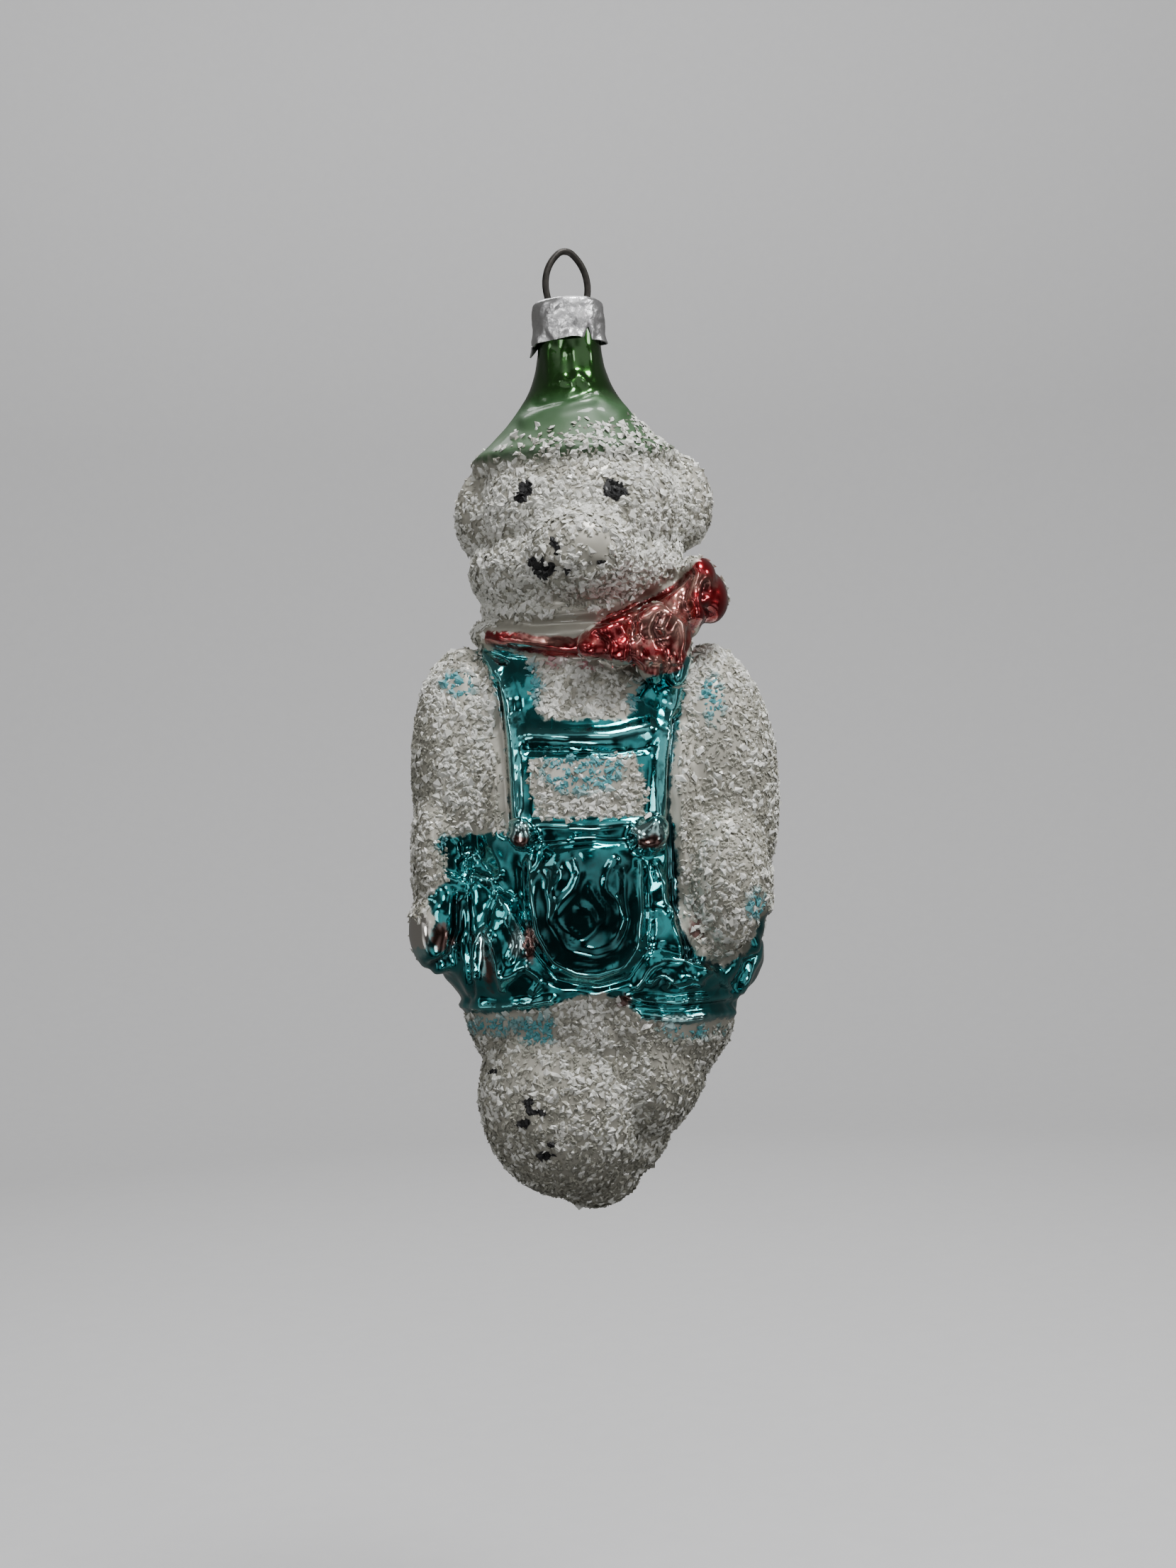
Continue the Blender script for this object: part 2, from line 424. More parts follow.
def depth_inside(flat, outline):
    """Distance to the outline in millimetres: positive inside, negative outside."""
    closed = outline + outline[:1]
    x, z = flat[:, 0], flat[:, 1]
    inside = np.zeros(len(flat), bool)
    for (ax, az), (bx, bz) in zip(closed[:-1], closed[1:]):
        if az != bz:
            crosses = ((az > z) != (bz > z)) & (x < (bx - ax) * (z - az) / (bz - az) + ax)
            inside ^= crosses
    return np.where(inside, 1, -1) * line_distance(flat, closed)


def blot_depth(flat, blots):
    """About how far inside the nearest blot a point lies, in millimetres."""
    best = np.full(len(flat), -99.0)
    for x, z, rx, rz in blots:
        reach = np.hypot((flat[:, 0] - x) / rx, (flat[:, 1] - z) / rz)
        best = np.maximum(best, (1 - reach) * min(rx, rz))
    return best


def add_value(mesh, name, values):
    layer = mesh.attributes.new(name, "FLOAT", "POINT")
    layer.data.foreach_set("value", np.ascontiguousarray(values, np.float32))


# ---------------------------------------------------------------- shader helpers

class Socket:
    """An output socket of a material, with arithmetic that adds Math nodes."""

    def __init__(self, look, output):
        self.look, self.output = look, output

    def _math(self, operation, *values, clamp=False):
        return self.look.node("ShaderNodeMath", {"operation": operation, "use_clamp": clamp},
                              dict(enumerate(values)))

    def __add__(self, other):
        return self._math("ADD", self, other)

    def __radd__(self, other):
        return self._math("ADD", other, self)

    def __sub__(self, other):
        return self._math("SUBTRACT", self, other)

    def __rsub__(self, other):
        return self._math("SUBTRACT", other, self)

    def __mul__(self, other):
        return self._math("MULTIPLY", self, other)

    def __rmul__(self, other):
        return self._math("MULTIPLY", other, self)

    def __truediv__(self, other):
        return self._math("DIVIDE", self, other)

    def __rtruediv__(self, other):
        return self._math("DIVIDE", other, self)

    def clamped(self):
        return self._math("ADD", self, 0.0, clamp=True)

    def most(self, other):
        return self._math("MAXIMUM", self, other)


class Look:
    """A node-based material, built by expressions."""

    def __init__(self, name, **uniform):
        self.material = bpy.data.materials.new(name)
        self.material.use_nodes = True
        self.tree = self.material.node_tree
        self.shader = self.tree.nodes["Principled BSDF"]
        for key, value in uniform.items():
            self.shader.inputs[key.replace("_", " ")].default_value = value

    def node(self, kind, settings, inputs, output=0):
        node = self.tree.nodes.new(kind)
        for key, value in settings.items():
            setattr(node, key, value)
        for key, value in inputs.items():
            self.feed(node.inputs[key], value)
        return Socket(self, node.outputs[output])

    def feed(self, socket, value):
        if isinstance(value, Socket):
            self.tree.links.new(value.output, socket)
        elif socket.type == "RGBA" and len(value) == 3:
            socket.default_value = (*value, 1)
        else:
            socket.default_value = value

    def value(self, name):
        return self.node("ShaderNodeAttribute", {"attribute_name": name}, {}, output="Fac")

    def colour(self, name):
        return self.node("ShaderNodeAttribute", {"attribute_name": name}, {}, output="Color")

    def place(self):
        return self.node("ShaderNodeTexCoord", {}, {}, output="Object")

    def height(self):
        return self.node("ShaderNodeSeparateXYZ", {}, {"Vector": self.place()}, output="Z")

    def cloud(self, size, detail=3.0, distortion=0.0):
        """Noise from 0 to 1 with features of about size metres."""
        inputs = {"Vector": self.place(), "Scale": 1 / size, "Detail": detail, "Distortion": distortion}
        return self.node("ShaderNodeTexNoise", {}, inputs, output="Fac")

    def cells(self, size):
        inputs = {"Vector": self.place(), "Scale": 1 / size}
        return self.node("ShaderNodeTexVoronoi", {"feature": "F1"}, inputs, output="Distance")

    def ramp(self, value, low, high, to_low=0.0, to_high=1.0):
        inputs = {"Value": value, "From Min": low, "From Max": high, "To Min": to_low, "To Max": to_high}
        return self.node("ShaderNodeMapRange", {"interpolation_type": "SMOOTHSTEP", "clamp": True}, inputs)

    def mix(self, share, a, b):
        return self.node("ShaderNodeMix", {"data_type": "RGBA"}, {"Factor": share, 6: a, 7: b}, output=2)

    def blend(self, share, a, b):
        """A number between a and b."""
        return a + share * (b - a) if isinstance(a, Socket) or isinstance(b, Socket) else share * (b - a) + a

    def bump(self, height, strength, distance):
        return self.node("ShaderNodeBump", {}, {"Height": height, "Strength": strength, "Distance": distance})

    def finish(self, **inputs):
        for key, value in inputs.items():
            self.feed(self.shader.inputs[key.replace("_", " ")], value)
        return self.material


def silvered_glass(settings):
    """Silvered glass under lacquers: a region is told by how many millimetres inside its edge a point is."""
    look = Look("silvered and lacquered glass", Coat_Roughness=0.03, Coat_IOR=1.5, IOR=1.5)
    fray = (look.cloud(0.9 * MM, 4) - 0.5) * 1.5
    fine = look.cloud(0.35 * MM, 2)
    streak = look.cloud(2.6 * MM, 3, 1.5)

    def covered(name, soft=0.22, ragged=1.0):
        return look.ramp(look.value(name) + fray * ragged, -soft, soft)

    teal, red, green = covered("teal"), covered("red", ragged=0.6), covered("green", 0.9, 1.2)
    worn, silver, thin = covered("worn", 0.3), covered("silver", 0.4), covered("thin_red", 0.7, 1.6)
    cream = look.mix(look.cloud(5 * MM), tuple(settings.cream), (0.42, 0.405, 0.35))
    pooled = look.ramp(streak, 0.35, 0.7)
    teal_tint = look.mix(pooled, tuple(settings.teal), tuple(0.55 * c for c in settings.teal))
    red_tint = look.mix(pooled, tuple(settings.red), tuple(0.7 * c for c in settings.red))
    red_tint = look.mix(thin * 0.7, red_tint, (0.55, 0.33, 0.27))
    red_tint = look.mix(look.ramp(look.value("lift"), -0.1, -0.6) * 0.7, red_tint, (0.12, 0.002, 0.004))
    milky = look.ramp(look.height() / MM + fray, -16.4, -19.4)
    pale = look.ramp(look.height() / MM, -18.5, -24)
    milk = look.mix(pale, (0.03, 0.09, 0.03), (0.07, 0.13, 0.065))
    green_tint = look.mix(milky, tuple(settings.green), milk)
    tint = look.mix(green, cream, green_tint)
    raised = look.ramp(look.value("lift"), 0.15, 0.75)
    sunk = look.ramp(look.value("lift"), -0.35, -0.9)
    teal_tint = look.mix(raised * 0.7, teal_tint, (0.16, 0.58, 0.60))
    teal_tint = look.mix(sunk * 0.8, teal_tint, (0.002, 0.05, 0.06))
    teal_tint = look.mix(look.ramp(look.value("flap"), -0.2, 1.2) * 0.6, teal_tint, (0.001, 0.06, 0.066))
    tint = look.mix(teal, tint, teal_tint)
    tint = look.mix(silver, tint, look.mix(teal, (0.86, 0.82, 0.76), (0.45, 0.72, 0.72)))
    tint = look.mix(red, tint, red_tint)
    tint = look.mix(worn, tint, (0.13, 0.065, 0.055))
    black = look.ramp(look.value("dab") + fray * 0.5, -0.1, 0.1)
    tint = look.mix(black, tint, (0.01, 0.01, 0.011))
    mirror = (teal.most(red).most(silver)).most(green * (1 - milky))
    metal = look.blend(mirror, 0.25, 1.0) * (1 - black) - green * 0.15 - red * 0.2
    rough = look.blend(mirror, 0.36, 0.1) + (fine - 0.5) * 0.06 + worn * 0.12 + black * 0.3
    rough = rough + green * 0.1 + red * 0.1
    relief = look.cloud(3.4 * MM, 2) + look.cloud(1.3 * MM, 2) * 0.2 + fine * 0.02
    return look.finish(Base_Color=tint, Metallic=metal.clamped(), Roughness=rough.clamped(),
                       Coat_Weight=look.blend(mirror, 0.25, 1.0).clamped(),
                       Normal=look.bump(relief, 0.2, 0.25 * MM))


def crushed_glass():
    """Clear and white chips of glass: each flake carries its own colour and gloss."""
    look = Look("crushed glass snow", IOR=1.5, Coat_Roughness=0.08)
    speck = look.cloud(0.3 * MM, 2)
    gloss = look.value("gloss")
    tint = look.mix(speck * 0.2, look.colour("tint"), (0.72, 0.72, 0.69))
    return look.finish(Base_Color=tint, Roughness=look.blend(gloss, 0.6, 0.15), Coat_Weight=gloss * 0.8,
                       Normal=look.bump(speck, 0.3, 0.05 * MM))


def dab_paint():
    look = Look("black brushed paint", IOR=1.45)
    speck = look.cloud(0.4 * MM, 3)
    tint = look.mix(speck, (0.003, 0.003, 0.004), (0.014, 0.014, 0.015))
    return look.finish(Base_Color=tint, Roughness=look.blend(speck, 0.4, 0.7), Coat_Weight=speck * 0.15,
                       Normal=look.bump(speck, 0.4, 0.08 * MM))


def cap_foil():
    look = Look("crumpled bright aluminium")
    dirt = look.ramp(look.cloud(1.6 * MM, 4), 0.52, 0.78)
    scratch = look.cloud(0.25 * MM, 2)
    tint = look.mix(dirt, (0.80, 0.80, 0.81), (0.36, 0.35, 0.36))
    return look.finish(Base_Color=tint, Metallic=look.blend(dirt, 0.95, 0.9),
                       Roughness=look.blend(dirt, 0.25, 0.45) + scratch * 0.08,
                       Normal=look.bump(look.cloud(0.8 * MM, 3) + look.cells(1.1 * MM) * 0.5, 0.5, 0.2 * MM))


def wire_steel():
    look = Look("dark spring steel")
    stain = look.cloud(0.7 * MM, 4)
    tint = look.mix(stain, (0.012, 0.011, 0.01), (0.05, 0.044, 0.038))
    return look.finish(Base_Color=tint, Metallic=look.blend(stain, 0.7, 0.4),
                       Roughness=look.blend(stain, 0.35, 0.6), Normal=look.bump(stain, 0.25, 0.05 * MM))


def stage_paper():
    look = Look("pale paper")
    grain = look.cloud(4 * MM, 3)
    return look.finish(Base_Color=look.mix(grain, (0.66, 0.66, 0.67), (0.7, 0.7, 0.71)),
                       Roughness=look.blend(grain, 0.8, 0.9))


# ---------------------------------------------------------------- the pieces

def add_forms():
    parts = []
    for name, (x, y, h, rx, ry, rz) in FORMS.items():
        clear_selection()
        z = TOE + h
        if y < NEAR_Y:
            shrink = (CAMERA_D + y) / CAMERA_D
            x, z = AIM_X + (x - AIM_X) * shrink, AIM_Z + (z - AIM_Z) * shrink
        bpy.ops.mesh.primitive_uv_sphere_add(segments=40, ring_count=24, radius=1,
                                             location=(x * MM, y * MM, (z + LOOP_TOP) * MM),
                                             scale=(rx * MM, ry * MM, rz * MM))
        parts.append(take_new(name))
    return parts


def add_neck():
    """The open neck and the hat that it flares into, with the well that the wire's legs stand in."""
    flare = [(NECK_R + HAT_FLARE * t * t, -12.0 - t) for t in np.linspace(0, 13.4, 16)]
    well = [(0.0, -22.6), (WELL_R, -21.8), (WELL_R, MOUTH)]
    profile = [(r, z + LOOP_TOP) for r, z in [*well, (NECK_R, MOUTH), *flare, (11, -28), (0.0, -30)]]
    neck = lathe("neck", profile)
    points = positions(neck.data)
    reach = np.hypot(points[:, 0], points[:, 1]) / MM
    flat = np.clip((reach - NECK_R) / 8, 0, 1)
    points[:, 1] *= 1 - 0.15 * flat
    set_positions(neck.data, points)
    return neck


def deepen_well(mesh):
    """The joined forms fill the foot of the well: its floor goes down again, clear of the wire's ends."""
    points = positions(mesh)
    reach = np.hypot(points[:, 0], points[:, 1]) / MM
    z = points[:, 2] / MM - LOOP_TOP
    inside = (reach < WELL_R + 0.5) & (z > -24)
    sink = np.clip((-19.4 - z) / 1.6, 0, 1) * WELL_SINK
    points[:, 2] -= np.where(inside, sink, 0) * MM
    set_positions(mesh, points)


def emboss(mesh, ripple):
    """Pushes the mould's ridges and creases into the skin along its normals."""
    points, out = positions(mesh), normals(mesh)
    flat = mould_view(points)
    lift = np.zeros(len(points))
    for lines, facing in ((FRONT_LINES, -1), (BACK_LINES, 1)):
        share = np.clip(0.5 + facing * out[:, 1] * 1.6, 0, 1)
        for width, height, line in lines:
            away = line_distance(flat, line) / (width * 1.15)
            bump = np.where(away < 1, 0.5 + 0.5 * np.cos(math.pi * np.minimum(away, 1)), 0)
            lift += height * bump * share
    well = (flat[:, 1] > -24) & (np.hypot(points[:, 0], points[:, 1]) < (NECK_R - 0.4) * MM)
    figure = (flat[:, 1] < -11.5) & ~well
    uneven = noise_at(points, 3.4 * MM, 1) + 0.6 * noise_at(points, 1.7 * MM, 2)
    crumple = np.clip((depth_inside(flat, SHORTS_FRONT) + 0.5), 0, 1) * (out[:, 1] < 0)
    add_value(mesh, "lift", lift)
    crumple *= depth_inside(flat, FLAP) < 0
    lift = lift * MM + uneven * ripple * (1 + 1.4 * crumple)
    set_positions(mesh, points + out * (lift * figure)[:, None])


def strap_distance(flat):
    return np.minimum(*(line_distance(flat, strap) for strap in BACK_STRAPS))


def paint_regions(mesh):
    points, out = positions(mesh), normals(mesh)
    flat = mould_view(points)
    front = out[:, 1] < 0.15
    band = 1.9 - line_distance(flat, [(-13, -45.8), (0, -46.6), (13, -45.8)])
    straps = BACK_STRAP_R - strap_distance(flat)
    bib = np.minimum(depth_inside(flat, BIB_FRONT), -depth_inside(flat, BIB_WINDOW))
    teal_front = np.max([depth_inside(flat, SHORTS_FRONT), bib, blot_depth(flat, TEAL_BLOTS)], axis=0)
    teal_back = np.maximum(depth_inside(flat, SHORTS_BACK), straps)
    add_value(mesh, "teal", np.where(front, teal_front, teal_back))
    add_value(mesh, "red", np.where(front, depth_inside(flat, SCARF_FRONT), band))
    add_value(mesh, "green", flat[:, 1] + 25.2)
    add_value(mesh, "thin_red", np.where(front, blot_depth(flat, THIN_RED), -9))
    add_value(mesh, "worn", np.where(front, blot_depth(flat, WORN), -9))
    add_value(mesh, "flap", np.where(front, depth_inside(flat, FLAP), -9))
    add_value(mesh, "silver", np.where(front, blot_depth(flat, SILVER), -9))
    dabs = np.max([blot_depth(flat, dab) for dab in DABS.values()], axis=0)
    add_value(mesh, "dab", np.where(front, dabs, -9))


def build_figure(settings):
    figure = join(add_forms() + [add_neck()], "glass_figure")
    apply_modifier(figure, "REMESH", mode="VOXEL", voxel_size=settings.voxel, adaptivity=0)
    apply_modifier(figure, "SMOOTH", factor=0.5, iterations=settings.smoothing)
    emboss(figure.data, settings.ripple)
    apply_modifier(figure, "SMOOTH", factor=0.5, iterations=3)
    deepen_well(figure.data)
    paint_regions(figure.data)
    make_active(figure)
    bpy.ops.object.shade_smooth()
    return figure


def flake_pattern():
    """One chip of glass: a flat four-sided pyramid, which every flake then draws out of true."""
    clear_selection()
    bpy.ops.mesh.primitive_cone_add(vertices=4, radius1=0.62, radius2=0, depth=1)
    chip = take_new("chip")
    corners = positions(chip.data)
    sides = [[side.vertices[0], a, b] for side in chip.data.polygons
             for a, b in zip(side.vertices[1:], side.vertices[2:])]
    bpy.data.objects.remove(chip)
    return corners, sides


def scatter(figure, per_mm2, rng):
    """Points spread evenly over the figure, with the way out at each."""
    mesh = figure.data
    mesh.calc_loop_triangles()
    corners = np.empty(len(mesh.loop_triangles) * 3, np.int32)
    mesh.loop_triangles.foreach_get("vertices", corners)
    corners = corners.reshape(-1, 3)
    points, out = positions(mesh), normals(mesh)
    a, b, c = (points[corners[:, k]] for k in range(3))
    area = np.linalg.norm(np.cross(b - a, c - a), axis=1) / 2
    count = int(area.sum() / MM ** 2 * per_mm2)
    pick = rng.choice(len(area), count, p=area / area.sum())
    u, v = rng.random(count), rng.random(count)
    over = u + v > 1
    u[over], v[over] = 1 - u[over], 1 - v[over]
    place = a[pick] + u[:, None] * (b - a)[pick] + v[:, None] * (c - a)[pick]
    way = out[corners[pick, 0]]
    return place, way


def snow_share(place, way):
    """For every snow-covered part of the figure, how much snow lies at each point, from 0 to 1."""
    flat = mould_view(place)
    x, z = flat[:, 0], flat[:, 1]
    front = way[:, 1] < 0.15
    fray = 0.7 * noise_at(place, 1.3 * MM, 3) + 0.5 * noise_at(place, 0.6 * MM, 4)

    def edge(depth, soft=0.5):
        return np.clip((depth + fray) / soft, 0, 1)

    chin = depth_inside(flat, [(-20, -20), (20, -20), (20, -37.6), (13.4, -38.8), (11, -40.2), (6, -42.6),
                               (2.4, -44), (-6, -44.3), (-9.6, -44.8), (-12, -47.4), (-20, -47.4)])
    scarf = depth_inside(flat, SCARF_FRONT)
    rim = np.clip((-18.9 - 0.02 * (x - 4) ** 2 - z + 1.8 * fray) / 5.6, 0, 1) ** 1.8
    head = np.where(front, edge(chin) * edge(-scarf), edge(-z - 20) * edge(z + 43.8)) * rim
    in_well = (z > -24) & (np.hypot(place[:, 0], place[:, 1]) < (WELL_R + 0.2) * MM)
    share = {"snow_head": head * ~in_well}
    for node, region in (("snow_chest", "chest"), ("snow_bib", "bib"), ("snow_arm_right", "arm_right"),
                         ("snow_arm_left", "arm_left")):
        share[node] = front * edge(depth_inside(flat, SNOW_FRONT[region])) * edge(-scarf)
    side = np.abs(x) > np.interp(-z, [46, 66, 70, 76, 85], [10.6, 10.6, 13.8, 15, 17.6])
    arm_back = (~front) & side & (z < -47.8) & (z > -84.5)
    share["snow_arm_right"] = np.where(arm_back & (x < 0), 1.0, share["snow_arm_right"])
    share["snow_arm_left"] = np.where(arm_back & (x > 0), 1.0, share["snow_arm_left"])
    between = np.abs(x) < BACK_STRAPS[1][0][0]
    beside = edge(strap_distance(flat) - BACK_STRAP_R)
    share["snow_back"] = (~front) * between * beside * edge(-z - 48.6) * edge(z + 68.8)
    shorts = np.where(front, depth_inside(flat, SHORTS_FRONT), z + 91.2)
    share["snow_legs"] = edge(-shorts - 0.2) * (z < -88)
    for tx, tz, rx, rz, left in THIN_SNOW:
        reach = np.hypot((x - tx) / rx, (z - tz) / rz)
        thin = np.where(front & (reach < 1.25), left + (1 - left) * np.clip((reach - 0.7) / 0.55, 0, 1), 1)
        for node in share:
            share[node] = share[node] * thin
    return share


def flake_mesh(name, place, way, width, rng, pattern):
    """All the flakes of one coat as one mesh: copies of the pattern, each turned, tilted and scaled."""
    corners, sides = pattern
    count = len(place)
    turn = rng.normal(size=(count, 3))
    up = way + 0.26 * rng.normal(size=(count, 3))
    up /= np.linalg.norm(up, axis=1)[:, None]
    east = np.cross(turn, up)
    east /= np.linalg.norm(east, axis=1)[:, None]
    north = np.cross(up, east)
    size = width * np.exp(np.clip(0.25 * rng.normal(size=count), -0.6, 0.45))
    long = size * 1.15
    wide = size * (0.6 + 0.4 * rng.random(count))
    thick = size * (0.2 + 0.25 * rng.random(count))
    shape = corners[None] + 0.16 * rng.normal(size=(count, len(corners), 3))
    lift = place + way * (0.02 * MM + 0.4 * thick + 0.15 * size * rng.random(count))[:, None]
    points = (lift[:, None] + shape[..., :1] * (long[:, None] * east)[:, None]
              + shape[..., 1:2] * (wide[:, None] * north)[:, None]
              + shape[..., 2:] * (thick[:, None] * up)[:, None])
    faces = (np.array(sides)[None] + len(corners) * np.arange(count)[:, None, None]).reshape(-1, 3)
    mesh = bpy.data.meshes.new(name)
    mesh.from_pydata(points.reshape(-1, 3).tolist(), [], faces.tolist())
    obj = bpy.data.objects.new(name, mesh)
    bpy.context.collection.objects.link(obj)
    make_active(obj)
    bpy.ops.object.shade_flat()
    return obj


def colour_flakes(obj, tint, gloss, corners):
    layer = obj.data.attributes.new("tint", "FLOAT_COLOR", "POINT")
    rgba = np.column_stack([tint, np.ones(len(tint))])
    layer.data.foreach_set("color", np.repeat(rgba, corners, axis=0).astype(np.float32).ravel())
    add_value(obj.data, "gloss", np.repeat(gloss, corners))


def flake_kinds(place, rng):
    """White flakes are large, clear ones small; lacquer that ran into the snow stains them."""
    flat = mould_view(place)
    count = len(place)
    white = 0.55 + 0.7 * noise_at(place, 5 * MM, 6) + 0.6 * noise_at(place, 1.6 * MM, 7)
    fresh, old = (np.clip(blot_depth(flat, blots), 0, 1) for blots in (WHITE_SNOW, CLEAR_SNOW))
    white += 0.4 * fresh - 0.35 * old
    white += 0.3 * np.clip((flat[:, 1] + 50) / 12, -1, 1)
    is_white = rng.random(count) < np.clip(0.1 + 0.55 * white, 0.12, 0.8)
    shade = rng.random(count)[:, None]
    clear_tint = (1 - shade) * np.array([0.50, 0.49, 0.41]) + shade * np.array([0.21, 0.205, 0.165])
    white_tint = (1 - shade) * np.array([0.95, 0.95, 0.91]) + shade * np.array([0.66, 0.66, 0.60])
    tint = np.where(is_white[:, None], white_tint, clear_tint)
    for stains, colour in ((TEAL_STAINS, (0.035, 0.33, 0.38)), (RED_STAINS, (0.5, 0.06, 0.12))):
        deep = np.where(place[:, 1] < 0, blot_depth(flat, stains) + 0.5 * noise_at(place, 1.1 * MM, 8), -1)
        stained = (np.clip(deep / 0.8, 0, 1) * (rng.random(count) < 0.85))[:, None]
        tint = tint * (1 - stained) + np.array(colour) * stained
    gloss = rng.random(count) ** 2
    grade = np.where(is_white, 1.25, 0.85)
    return np.clip(tint, 0, 1), gloss, grade


def build_cap():
    """The pressed cap: a thin shell with a dome, a rolled shoulder and a crumpled, notched skirt."""
    top = CAP_HIGH.z / MM - 0.55
    hem = CAP_LOW.z / MM
    radius = CAP_HIGH.x / MM
    dome = [(1.6 * math.sin(a), top + 0.55 * math.cos(a)) for a in np.linspace(0.0, math.pi / 2, 7)]
    shoulder = [(radius - 0.6 + 0.6 * math.sin(a), top - 0.6 + 0.6 * math.cos(a))
                for a in np.linspace(0.0, math.pi / 2, 6)]
    skirt = [(radius, z) for z in np.linspace(top - 0.6, hem, 22)[1:]]
    outer = dome + [(r, top) for r in (2.2, 2.8, 3.3)] + shoulder + skirt
    mesh = bpy.data.meshes.new("crumpled_cap")
    edges = [(k, k + 1) for k in range(len(outer) - 1)]
    mesh.from_pydata([(r * MM, 0, z * MM) for r, z in outer], edges, [])
    cap = bpy.data.objects.new("crumpled_cap", mesh)
    bpy.context.collection.objects.link(cap)
    make_active(cap)
    bpy.ops.object.mode_set(mode="EDIT")
    bpy.ops.mesh.select_all(action="SELECT")
    bpy.ops.mesh.spin(steps=168, angle=math.tau, center=(0, 0, 0), axis=(0, 0, 1))
    bpy.ops.mesh.select_all(action="SELECT")
    bpy.ops.mesh.remove_doubles(threshold=1e-6)
    bpy.ops.mesh.normals_make_consistent(inside=False)
    bpy.ops.object.mode_set(mode="OBJECT")
    points = positions(cap.data)
    angle = np.degrees(np.arctan2(points[:, 0], -points[:, 1]))     # 0 faces the front, 90 the bear's left
    down = np.clip((top - 0.6 - points[:, 2] / MM) / (top - 0.6 - hem), 0, 1)
    notch = np.zeros(len(points))
    for at, wide, high in ((36, 9, 1.5), (-152, 10, 1.5), (128, 8, 1.2), (-76, 6, 0.7)):
        away = np.abs((angle - at + 180) % 360 - 180) / wide
        notch = np.maximum(notch, high * np.clip(1 - away, 0, 1))
    wavy = 0.22 * np.sin(np.radians(angle * 3 + 40)) + 0.1 * np.sin(np.radians(angle * 7))
    corner = np.clip(1 - np.abs(angle + 88) / 24, 0, 1)
    points[:, 2] += (notch + wavy * 0.4 - 1.5 * corner) * down ** 1.5 * MM
    crumple = (noise_at(points, 1.7 * MM, 11) * 0.2 + noise_at(points, 0.8 * MM, 12) * 0.07)
    flat_side = 0.14 * np.cos(np.radians(angle * 4)) * down
    edge_lift = (0.25 * np.sin(np.radians(angle * 5 + 60)) + 0.55 * corner) * down ** 4
    push = np.where(down > 0, crumple + flat_side + edge_lift, 0)
    reach = np.hypot(points[:, 0], points[:, 1])
    scale = 1 + np.where(reach > 0.1 * MM, push * MM / np.maximum(reach, 0.1 * MM), 0)
    points[:, :2] *= scale[:, None]
    points[:, 2] += np.where(down == 0, noise_at(points, 1.2 * MM, 13) * 0.08 * MM, 0)
    set_positions(cap.data, points)
    apply_modifier(cap, "SOLIDIFY", thickness=0.16 * MM, offset=-1)
    for side in (1, -1):
        clear_selection()
        out = side * HOLE_AWAY * MM
        bpy.ops.mesh.primitive_cylinder_add(vertices=32, radius=HOLE_R * MM, depth=3 * MM,
                                            location=(out * math.cos(HOLE_TURN), out * math.sin(HOLE_TURN),
                                                      top * MM))
        punch = take_new("punch")
        apply_modifier(cap, "BOOLEAN", operation="DIFFERENCE", object=punch, solver="EXACT")
        bpy.data.objects.remove(punch)
    make_active(cap)
    bpy.ops.object.shade_smooth_by_angle(angle=math.radians(28))
    return cap


# ---------------------------------------------------------------- operators

class ORNAMENT_OT_glass(Operator):
    """Blow the silvered glass figure in its mould and lacquer it"""
    bl_idname = "ornament.glass"
    bl_label = "Glass Figure"

    def execute(self, context):
        settings = context.scene.ornament_glass
        figure = build_figure(settings)
        figure.data.materials.append(silvered_glass(settings))
        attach(figure, "bear")
        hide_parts("glass_body", "pike_lacquer", "scarf_lacquer", "shorts_lacquer")
        return {"FINISHED"}


class ORNAMENT_OT_snow(Operator):
    """Strew crushed glass over the fur, shirt and legs, and dab on the eyes, nose, mouth and claws"""
    bl_idname = "ornament.snow"
    bl_label = "Crushed-Glass Snow"

    def execute(self, context):
        settings = context.scene.ornament_snow
        figure = bpy.data.objects["glass_figure"]
        rng = np.random.default_rng(settings.seed)
        pattern = flake_pattern()
        place, way = scatter(figure, settings.per_mm2, rng)
        share = snow_share(place, way)
        flat = mould_view(place)
        jitter = 0.3 * noise_at(place, 0.7 * MM, 5)
        kept = rng.random(len(place))
        painted = np.zeros(len(place), bool)
        front = way[:, 1] < 0
        for node, blots in DABS.items():
            dabbed = front & (blot_depth(flat, blots) + jitter > 0) & ~painted
            painted |= dabbed
            width = settings.flake * 1.15
            obj = flake_mesh(node + "_paint", place[dabbed], way[dabbed], width, rng, pattern)
            obj.data.materials.append(dab_paint())
            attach(obj, "bear")
            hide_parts(node)
        snow = crushed_glass()
        for node, amount in share.items():
            lies = (kept < amount) & ~painted
            tint, gloss, grade = flake_kinds(place[lies], rng)
            obj = flake_mesh(node + "_flakes", place[lies], way[lies], settings.flake * grade, rng, pattern)
            colour_flakes(obj, tint, gloss, len(pattern[0]))
            obj.data.materials.append(snow)
            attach(obj, "bear")
            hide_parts(node)
        return {"FINISHED"}


class ORNAMENT_OT_cap(Operator):
    """Press the cap and crumple its skirt, and give the wire its dark steel"""
    bl_idname = "ornament.cap"
    bl_label = "Cap and Wire"

    def execute(self, context):
        cap = build_cap()
        cap.data.materials.append(cap_foil())
        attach(cap, "cap")
        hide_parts("cap")
        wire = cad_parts["hanger_wire"]
        steel = wire_steel()
        for slot in wire.material_slots:
            slot.material = steel
        return {"FINISHED"}


